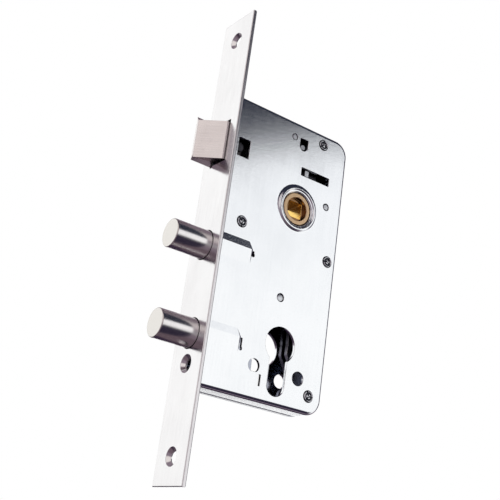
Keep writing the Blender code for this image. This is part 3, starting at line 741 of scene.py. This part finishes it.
def makeCover():
    size = caseSizes
    low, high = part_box("case_body")
    half, sheet = size["half"], size["sheet"]
    bm = plate(caseOutline(), "Y", -half, high.y, 16)
    softened(bm, size["bend"], 8, lambda p: p.y < touch - half)
    # a folded seam leaves a groove round the walls
    seamLow, seamHigh = size["seam"]
    core = plate(caseOutline(size["seamDepth"], low.x - mm), "Y", seamLow - mm, seamHigh + mm, 16)
    bm = worked(bm, [worked(plate(caseOutline(), "Y", seamLow, seamHigh, 16), [core])])
    room = plate(caseOutline(sheet, low.x + sheet), "Y", sheet - half, 2 * half, 16)
    softened(room, size["innerBend"], 3, lambda p: p.y < sheet - half + touch)
    bm = worked(bm, [room])
    bm = worked(bm, [bulge(-1, "upper_bolt"), bulge(-1, "lower_bolt"), collar(-1)], "UNION")
    near, far = -2 * half, sheet - half + 2 * mm
    tools = sideTools(near, far)
    for window, corner, steps in (("latchWindow", "windowCorner", 3),
                                  ("studWindow", "windowCorner", 3), ("lance", "lanceCorner", 2)):
        tools.append(plate(rectangle(*size[window], size[corner]), "Y", near, far, steps))
    x, z, radius = size["studHole"]
    tools.append(rod("Y", (x, 0, z), radius, near, far, 48))
    tools.append(rod("Y", middleOf("follower_stop_pin"), size["stopPinHoleR"], near, far, 40))
    x, z, radius = size["roundOpening"]
    opening = rod("Y", (x, 0, z), radius, near, far, 56)
    bottom = z - radius * size["roundOpeningShut"]
    tools.append(slicedOff(opening, (0, 0, bottom), (0, 0, -1)))
    # the sheet is slit open at each bulge's nose
    end = size["bulgeEnd"] + bulgeSizes["slitPast"]
    endR = bulgeSizes["slitEndR"]
    for bolt, (slitLow, slitHigh) in bulgeSizes["slits"].items():
        tools.append(boltRoom(bolt))
        z = middleOf(bolt).z
        slit = rectangle(end - bulgeSizes["slitWidth"], end + bulgeSizes["slitPast"], z + slitLow,
                         z + slitHigh, bulgeSizes["slitCorner"])
        tools.append(plate(slit, "Y", near, far, 3))
        tools.append(rod("Y", (end, 0, z + slitLow + endR), endR, near, far, 32))
    latchLow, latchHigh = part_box("latch_head")
    aside, above = size["latchRoom"]
    tools.append(block((low.x - mm, latchLow.y - aside, latchLow.z - above),
                       (low.x + sheet + mm, 2 * half, latchHigh.z + above)))
    tools.append(rod("X", (0, 0, forendSizes["cylinderScrew"]), forendSizes["screwR"],
                     low.x - mm, low.x + sheet + mm, 48))
    bm = worked(bm, tools)
    return finished("coverShell", bm, "case", coverZinc, ["case_body"], 0.13 * mm,
                    crisp=byBulge)


def makeBackPlate():
    half, sheet = caseSizes["half"], caseSizes["sheet"]
    bm = plate(caseOutline(), "Y", half - sheet, half, 16)
    softened(bm, caseSizes["backBend"], 3, lambda p: p.y > half - touch)
    bm = worked(bm, [bulge(1, "upper_bolt"), bulge(1, "lower_bolt"), collar(1)], "UNION")
    tools = sideTools(half - sheet - 2 * mm, 2 * half)
    tools += [boltRoom(bolt) for bolt in ("upper_bolt", "lower_bolt")]
    bm = worked(bm, tools)
    return finished("backShell", bm, "case", coverZinc, ["back_plate"], 0.13 * mm,
                    crisp=byBulge)


makeCover()
makeBackPlate()
print("case made")


# posts and pins

postSizes = {
    "stations": [(0, 8.36), (0.8, 8.34), (1.15, 8.25), (1.3, 8.0), (1.35, 7.75), (1.85, 7.75),
                 (1.95, 8.15), (2.08, 8.33), (2.3, 8.4), (2.5, 8.3), (2.6, 8.1), (2.6, 6.0),
                 (3.55, 6.0), (3.7, 5.85)],
    "notches": 3,
    "notchWidth": 0.7 * mm,
    "notchDepth": 0.6 * mm,
    "notchReach": (0.25 * mm, 2.9 * mm),
    "tip": 8,
}


def makePost(name, turn):
    # each end is staked over: a ring, a groove and an island split by three notches
    size = postSizes
    end = [(radius * mm, -depth * mm) for radius, depth in size["stations"]]
    profile = end + [(radius, -depth) for radius, depth in reversed(end)]
    centre = middleOf(name)
    bm = spun(profile, "Y", centre, 64)
    tip = size["stations"][size["tip"]][1] * mm
    start, reach = size["notchReach"]
    tools = []
    for side in (-1, 1):
        for k in range(size["notches"]):
            low = side * tip - size["notchDepth"]
            notch = block((start, low, -size["notchWidth"] / 2),
                          (reach, low + 2 * size["notchDepth"], size["notchWidth"] / 2))
            angle = turn + 2 * math.pi * k / size["notches"]
            bmesh.ops.rotate(notch, matrix=Matrix.Rotation(angle, 3, "Y"), verts=notch.verts)
            bmesh.ops.translate(notch, vec=(centre.x, 0, centre.z), verts=notch.verts)
            tools.append(notch)
    bm = worked(bm, tools)
    return finished(name.replace("post_", "post") + "Staked", bm, "case", staked,
                    [name], 0.06 * mm)


for k, name in enumerate(posts):
    makePost(name, 0.4 + 1.3 * k)  # each is staked at another turn

# radius and depth along each turned pin, in millimetres
pinStations = {
    "plate_guide_pin": [
        (0, -7.5), (1.4, -7.5), (1.72, -7.38), (1.8, -7.1), (1.8, -3.6), (2.8, -3.6), (3.0, -3.4),
        (3.0, 5.8), (2.8, 6.0), (1.8, 6.0), (1.8, 7.6), (1.6, 7.8), (0, 7.8)],
    "tail_guide_pin": [
        (0, -7.75), (1.1, -7.75), (1.42, -7.6), (1.5, -7.3), (1.5, 7.4), (1.3, 7.75), (0, 7.75)],
    "follower_stop_pin": [
        (0, -7.7), (1.2, -7.7), (1.52, -7.55), (1.6, -7.3), (1.6, -6.0), (2.2, -6.0), (2.4, -5.8),
        (2.4, 2.4), (2.2, 2.6), (0, 2.6)],
}
for name, stations in pinStations.items():
    profile = [(radius * mm, depth * mm) for radius, depth in stations]
    finished(name.split("_pin")[0].replace("_", "") + "Pin", spun(profile, "Y", middleOf(name), 56),
             "case", postSteel, [name])
print("posts and pins made")


# bolts

boltSizes = {
    "endRound": 0.55 * mm,
    "endRim": 0.6 * mm,
    "roundSteps": 6,
    "stations": [(7.0, 0.7), (6.7, 1.0), (5.9, 1.0), (5.9, 4.0), (2.6, 4.0), (2.6, 7.1), (3.4, 7.1),
                 (3.5, 7.3), (3.3, 8.2), (3.0, 8.3), (0, 8.3)],
}


def makeBolt(name, newName, finish):
    low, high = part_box(name)
    radius = (high.z - low.z) / 2
    ease, steps = boltSizes["endRound"], boltSizes["roundSteps"]
    profile = [(0, low.x), (radius - ease - boltSizes["endRim"], low.x)]
    for k in range(steps + 1):
        turn = math.pi / 2 * k / steps
        profile.append((radius - ease + ease * math.sin(turn),
                        low.x + ease - ease * math.cos(turn)))
    profile += [(r * mm, depth * mm) for r, depth in boltSizes["stations"]]
    bm = spun(profile, "X", middleOf(name), 128)
    return finished(newName, bm, "deadbolts", finish, [name])


makeBolt("upper_bolt", "upperBolt", upperBoltNickel)
makeBolt("lower_bolt", "lowerBolt", lowerBoltNickel)
print("bolts made")


# latch

latchSizes = {
    "bevelStart": -1.2 * mm,
    "strip": 1.5 * mm,
    "shoulder": 4.4 * mm,
    "wedge": (36.3 * mm, 56.4 * mm),
    "wedgeRise": 1.6 * mm,
    "stripSlope": 2.4 * mm,
    "stripShort": 0.2 * mm,
    "overlap": 0.5 * mm,
    "slotStart": 2 * mm,
    "neck": (13.5 * mm, 3 * mm, 41.4 * mm, 52.6 * mm),
    "slotHalf": 1.85 * mm,
    "slotLow": 43.65 * mm,
    "slotHigh": 50.35 * mm,
    "rivet": (8.6 * mm, 47 * mm, 1.8 * mm),
}


def makeLatch():
    # a wedge with a taller strip along its far side, and a slotted neck for the tail
    size = latchSizes
    low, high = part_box("latch_head")
    tip = high.y - size["strip"]
    start = Vector((size["bevelStart"], low.y, 0))
    bottom, top = size["wedge"]
    rise = size["wedgeRise"]
    overlap = size["overlap"]
    wedge = plate([(size["shoulder"], low.y), (start.x, start.y), (low.x, tip),
                   (low.x + overlap, tip + overlap), (size["shoulder"], tip + overlap)],
                  "Z", low.z, high.z)
    for up, edge in ((-1, bottom), (1, top)):
        # the wedge's lower and upper faces lean in towards the forend
        corner = Vector((low.x, tip, edge))
        along = Vector((start.x, start.y, edge)) - corner
        into = Vector((0, tip, edge - up * rise)) - corner
        lean = along.cross(into).normalized()
        slicedOff(wedge, corner, lean if lean.z * up > 0 else -lean)
    drop = size["stripSlope"]
    strip = [(tip, low.z + drop), (high.y, low.z), (high.y, high.z), (tip, high.z - drop)]
    end, half, neckLow, neckHigh = size["neck"]
    neck = block((size["shoulder"] - mm, -half, neckLow), (end, half, neckHigh))
    bm = worked(wedge, [plate(strip, "X", low.x, size["shoulder"] - size["stripShort"]), neck],
                "UNION")
    x, z, radius = size["rivet"]
    bm = worked(bm, [block((size["slotStart"], -size["slotHalf"], size["slotLow"]),
                           (end + mm, size["slotHalf"], size["slotHigh"])),
                     rod("Y", (x, 0, z), radius, -2 * half, 2 * half, 40)])
    return finished("latchBolt", bm, "latch", latchNickel, ["latch_head"],
                    0.1 * mm, 3)


makeLatch()
print("latch made")


# follower

followerSizes = {
    "hub": [(0, 5.7), (5.9, 5.7), (6.0, 5.8), (6.0, 7.5), (6.2, 7.7), (8.0, 7.7), (8.2, 7.5),
            (8.2, 6.0), (8.3, 5.9), (9.2, 5.9), (9.4, 5.7)],
    "square": 8.1 * mm,
    "squareCorner": 0.25 * mm,
    "holeHalf": 9 * mm,
    "rootHalf": 3.2 * mm,
    "earTurn": 82.5,
    "arm": (15.4 * mm, 1.8 * mm, 1.1 * mm),
    "ear": (17.6 * mm, 2.0 * mm, 1.9 * mm),
    "halfThick": 2.2 * mm,
    "latchThrow": 11.5 * mm,
}


def makeFollower():
    size = followerSizes
    end = [(radius * mm, -depth * mm) for radius, depth in size["hub"]]
    profile = end + [(radius, -depth) for radius, depth in reversed(end)]
    bm = spun(profile, "Y", hub, 128)
    thick = size["halfThick"]
    lean = math.asin(size["latchThrow"] / 2 / size["arm"][0])
    limbs = []
    earTurn = math.radians(size["earTurn"])
    for direction, (reach, tipR, half) in ((-lean, size["arm"]), (earTurn, size["ear"])):
        out = Vector((math.sin(direction), math.cos(direction)))
        side = Vector((out.y, -out.x))
        middle = Vector((hub.x, hub.z))
        tip = middle + out * reach
        root = side * size["rootHalf"]
        corners = [middle - root, middle + root, tip + side * half, tip - side * half]
        limbs.append(plate([tuple(c) for c in corners], "Y", -thick, thick))
        limbs.append(rod("Y", (tip.x, 0, tip.y), tipR, -thick, thick, 40))
    bm = worked(bm, limbs, "UNION")
    half = size["square"] / 2
    hole = rectangle(hub.x - half, hub.x + half, hub.z - half, hub.z + half,
                     size["squareCorner"])
    bm = worked(bm, [plate(hole, "Y", -size["holeHalf"], size["holeHalf"], 3)])
    return finished("followerHub", bm, "follower", bronze, ["follower"], 0.12 * mm)


makeFollower()
print("follower made")


# springs

def springWire(name, points, radius, body, node):
    # a round wire drawn smoothly through points
    data = bpy.data.curves.new(name, "CURVE")
    data.dimensions = "3D"
    data.bevel_depth = radius
    data.bevel_resolution = 5
    data.resolution_u = 6
    data.use_fill_caps = True
    line = data.splines.new("BEZIER")
    line.bezier_points.add(len(points) - 1)
    for spot, place in zip(line.bezier_points, points):
        spot.co = place
        spot.handle_left_type = spot.handle_right_type = "AUTO"
    line = bpy.data.objects.new("line", data)
    bpy.context.scene.collection.objects.link(line)
    seen = line.evaluated_get(bpy.context.evaluated_depsgraph_get())
    mesh = bpy.data.meshes.new_from_object(seen)
    bpy.data.objects.remove(line)
    mesh.name = name
    mesh.materials.clear()
    mesh.materials.append(springSteel)
    piece = bpy.data.objects.new(name, mesh)
    bpy.context.scene.collection.objects.link(piece)
    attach(piece, body)
    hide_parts(node)
    return piece


latchSpringSizes = {
    "wireR": 0.45 * mm,
    "turns": 8,
    "steps": 12,
    "closed": 0.9,  # turns at each end that lie nearly flat
    "flatPitch": 0.14,  # of the even pitch
}


def makeLatchSpring():
    size = latchSpringSizes
    low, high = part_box("latch_spring")
    wireR, turns, steps = size["wireR"], size["turns"], size["steps"]
    coil = (high.z - low.z) / 2 - wireR
    middle = (low.z + high.z) / 2
    length = high.x - low.x
    flat = size["closed"] / turns
    points = []
    for k in range(turns * steps + 1):
        turn = k / steps
        share = turn / turns
        # the pitch is small in the end turns and even between them
        eased = min(max((share - flat) / (1 - 2 * flat), 0), 1)
        way = eased * (1 - size["flatPitch"]) + share * size["flatPitch"]
        angle = 2 * math.pi * turn
        points.append((low.x + wireR + (length - 2 * wireR) * way, coil * math.cos(angle),
                       middle + coil * math.sin(angle)))
    spring = springWire("latchSpring", points, wireR, "case", "latch_spring")
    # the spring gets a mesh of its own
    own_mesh(spring)
    return spring


# the front leg's two points are from the coil's middle and top, the back leg's from the coil's
# middle and foot, and the tip's are from the tip and the bolt plate's top, in millimetres
detentSizes = {
    "wireR": 0.65 * mm,
    "coilR": 4.7 * mm,
    "near": -5.0 * mm,
    "pitch": 1.5 * mm,
    "turns": 1.5,
    "steps": 18,
    "frontStart": 6.0 * mm,
    "frontLeg": [(0, 1.4), (-4, 0.6)],
    "backLeg": [(6, 0), (15, -0.2)],
    "plateTop": -13.5 * mm,
    "tipX": 38 * mm,
    "tip": [(-2, 3.2), (0, 0.25), (2, 3), (4.4, 4.1)],
}


def makeDetentSpring():
    size = detentSizes
    post = middleOf("post_front")
    x, z, coil = post.x, post.z, size["coilR"]
    near, turns, steps, tip = size["near"], size["turns"], size["steps"], size["tipX"]
    rise = size["pitch"] * turns
    (_, startUp), (legBack, legUp) = size["frontLeg"]
    points = [(size["frontStart"], near, z + coil + startUp * mm),
              (x + legBack * mm, near, z + coil + legUp * mm)]
    for k in range(steps + 1):
        share = k / steps
        angle = math.pi / 2 - 2 * math.pi * turns * share
        points.append((x + coil * math.cos(angle), near + rise * share,
                       z + coil * math.sin(angle)))
    (firstOut, firstUp), (secondOut, secondUp) = size["backLeg"]
    side = near + 0.4 * mm
    points += [(x + firstOut * mm, near + rise, z - coil + firstUp * mm),
               (x + secondOut * mm, near + 0.6 * mm, z - coil + secondUp * mm),
               (tip - 6 * mm, side, z - coil - 1.5 * mm)]
    points += [(tip + out * mm, side, size["plateTop"] + up * mm) for out, up in size["tip"]]
    return springWire("detentSpring", points, size["wireR"], "case", "detent_spring")


makeLatchSpring()
makeDetentSpring()
print("springs made")


# stamped inner pieces: the CAD shape with its edges eased

def eased(node, name, body, slot, finish, edge=0.15 * mm):
    bm = bmesh.new()
    bm.from_mesh(nodes[node].data)
    bmesh.ops.remove_doubles(bm, verts=bm.verts, dist=weld)
    bmesh.ops.dissolve_limit(bm, angle_limit=math.radians(1), verts=bm.verts, edges=bm.edges)
    return finished(name, bm, body, finish, [node], edge)


eased("tail_guide", "tailGuide", "case", "mild_steel", studSteel)
eased("latch_tail", "latchTail", "latch", "mild_steel", innerSteel)
eased("latch_rivet", "latchRivet", "latch", "mild_steel", shadeBlackSteel, 0.1 * mm)
eased("tail_lug", "tailLug", "latch", "mild_steel", postSteel)
eased("bolt_plate", "boltPlate", "deadbolts", "mild_steel", innerSteel)
eased("key_lever", "keyLever", "key_lever", "zinc_plate", leverZinc)
print("inner pieces made")


# camera, floor and light

view = {
    "place": (-0.21253, -0.35961, -0.15299),
    "right": (0.80014, -0.58545, 0.13046),
    "up": (-0.29747, -0.19846, 0.93388),
    "back": (-0.52085, -0.78604, -0.33295),
    "lens": 68.09,
    "filmWidth": 36,
    "clip": (0.01, 50),
}


def makeCamera():
    data = bpy.data.cameras.new("camera")
    data.lens = view["lens"]
    data.sensor_width = view["filmWidth"]
    data.clip_start, data.clip_end = view["clip"]
    camera = bpy.data.objects.new("camera", data)
    turn = Matrix((view["right"], view["up"], view["back"])).transposed()
    camera.matrix_world = Matrix.Translation(view["place"]) @ turn.to_4x4()
    bpy.context.scene.collection.objects.link(camera)
    bpy.context.scene.camera = camera


floorSizes = {
    "half": 6,
    "below": 0.055,
    "mottle": 0.4,
    "light": (0.86, 0.86, 0.865, 1),
    "dark": (0.82, 0.82, 0.825, 1),
}


def makeFloor():
    size = floorSizes
    bm = bmesh.new()
    bmesh.ops.create_grid(bm, x_segments=8, y_segments=8, size=size["half"])
    bmesh.ops.translate(bm, vec=(0, 0, cadBox[0][2] - size["below"]), verts=bm.verts)
    floor = asObject("floor", bm)
    paint = Finish(bpy.data.materials.new("floorPaint"))
    mottle = paint.grain((size["mottle"],) * 3, 3)
    paint.feed("Base Color", paint.mixed(mottle, size["light"], size["dark"]))
    paint.feed("Roughness", 0.8)
    floor.data.materials.append(paint.owner)
    floor.visible_glossy = False


# soft boxes and dark flags round the lock, later ones in front of earlier ones: azimuth
# from the near side towards the rear, elevation, half width and soft edge in degrees, light
studio = {
    "base": (0.26, 0.205, 0.25, 1),
    "dull": (0.95, 0.95, 0.95, 1),
    "seen": (1.0, 1.0, 1.0, 1),
    "sky": [
        (-38, -6, 9, 10, (0.45, 0.43, 0.45, 1)),  # fills the left side, low
        (176, 2, 12, 8, (0.7, 0.7, 0.7, 1)),  # fills the back
        (38, 64, 38.5, 7, (0.025, 0.028, 0.045, 1)),  # dark above, in front
        (44, -13.5, 39.5, 2, (1.02, 1.03, 1.05, 1)),  # the large box that the cover mirrors
        (42, -12, 26, 12, (1.1, 1.1, 1.1, 1)),  # brighter lower down
        (98, 20, 26, 10, (0.045, 0.035, 0.07, 1)),  # dark to the rear
        (-150, 20, 20, 8, (1.12, 1.12, 1.12, 1)),  # the wall that the forend's face mirrors
        (-62, 26, 22, 12, (0.88, 0.82, 0.81, 1)),  # warmer, to the left
        (145, -38, 26, 10, (0.04, 0.025, 0.05, 1)),  # dark behind, low
        (145, 8, 18.5, 2.5, (1.15, 1.15, 1.15, 1)),  # lights the case's lower wall
        (-145, -40, 22, 11, (0.05, 0.035, 0.055, 1)),  # dark behind, low, to the left
        (26, -46, 29, 14, (0.028, 0.022, 0.042, 1)),  # dark in front, low
        (-90, -64, 24, 16, (0.16, 0.115, 0.14, 1)),  # dim from below
    ],
}


def towards(azimuth, elevation):
    turn, rise = math.radians(azimuth), math.radians(elevation)
    return (math.sin(turn) * math.cos(rise), -math.cos(turn) * math.cos(rise), math.sin(rise))


def makeLight():
    world = bpy.data.worlds.new("studio")
    bpy.context.scene.world = world
    sky = Finish(world)
    direction = sky.node("TexCoord", {}, {}, 0)
    tone = sky.mixed(0.0, studio["base"], studio["base"])
    for azimuth, elevation, half, soft, light in studio["sky"]:
        near = sky.node("VectorMath", {"operation": "DOT_PRODUCT"},
                        {0: direction, 1: towards(azimuth, elevation)}, 1)
        share = sky.step(near, math.cos(math.radians(half + soft)), math.cos(math.radians(half)))
        tone = sky.mixed(share, tone, light)
    # dull surfaces get even light, and the room behind the lock is white
    dull = sky.node("LightPath", {}, {}, 2)
    tone = sky.mixed(dull, tone, studio["dull"])
    seen = sky.node("LightPath", {}, {}, 0)
    tone = sky.mixed(seen, tone, studio["seen"])
    back = sky.tree.nodes["Background"]
    sky.tree.links.new(tone.socket, back.inputs["Color"])
    back.inputs["Strength"].default_value = 1.0


makeCamera()
makeFloor()
makeLight()
bpy.context.scene.view_settings.view_transform = "Standard"
print("camera, floor and light made")
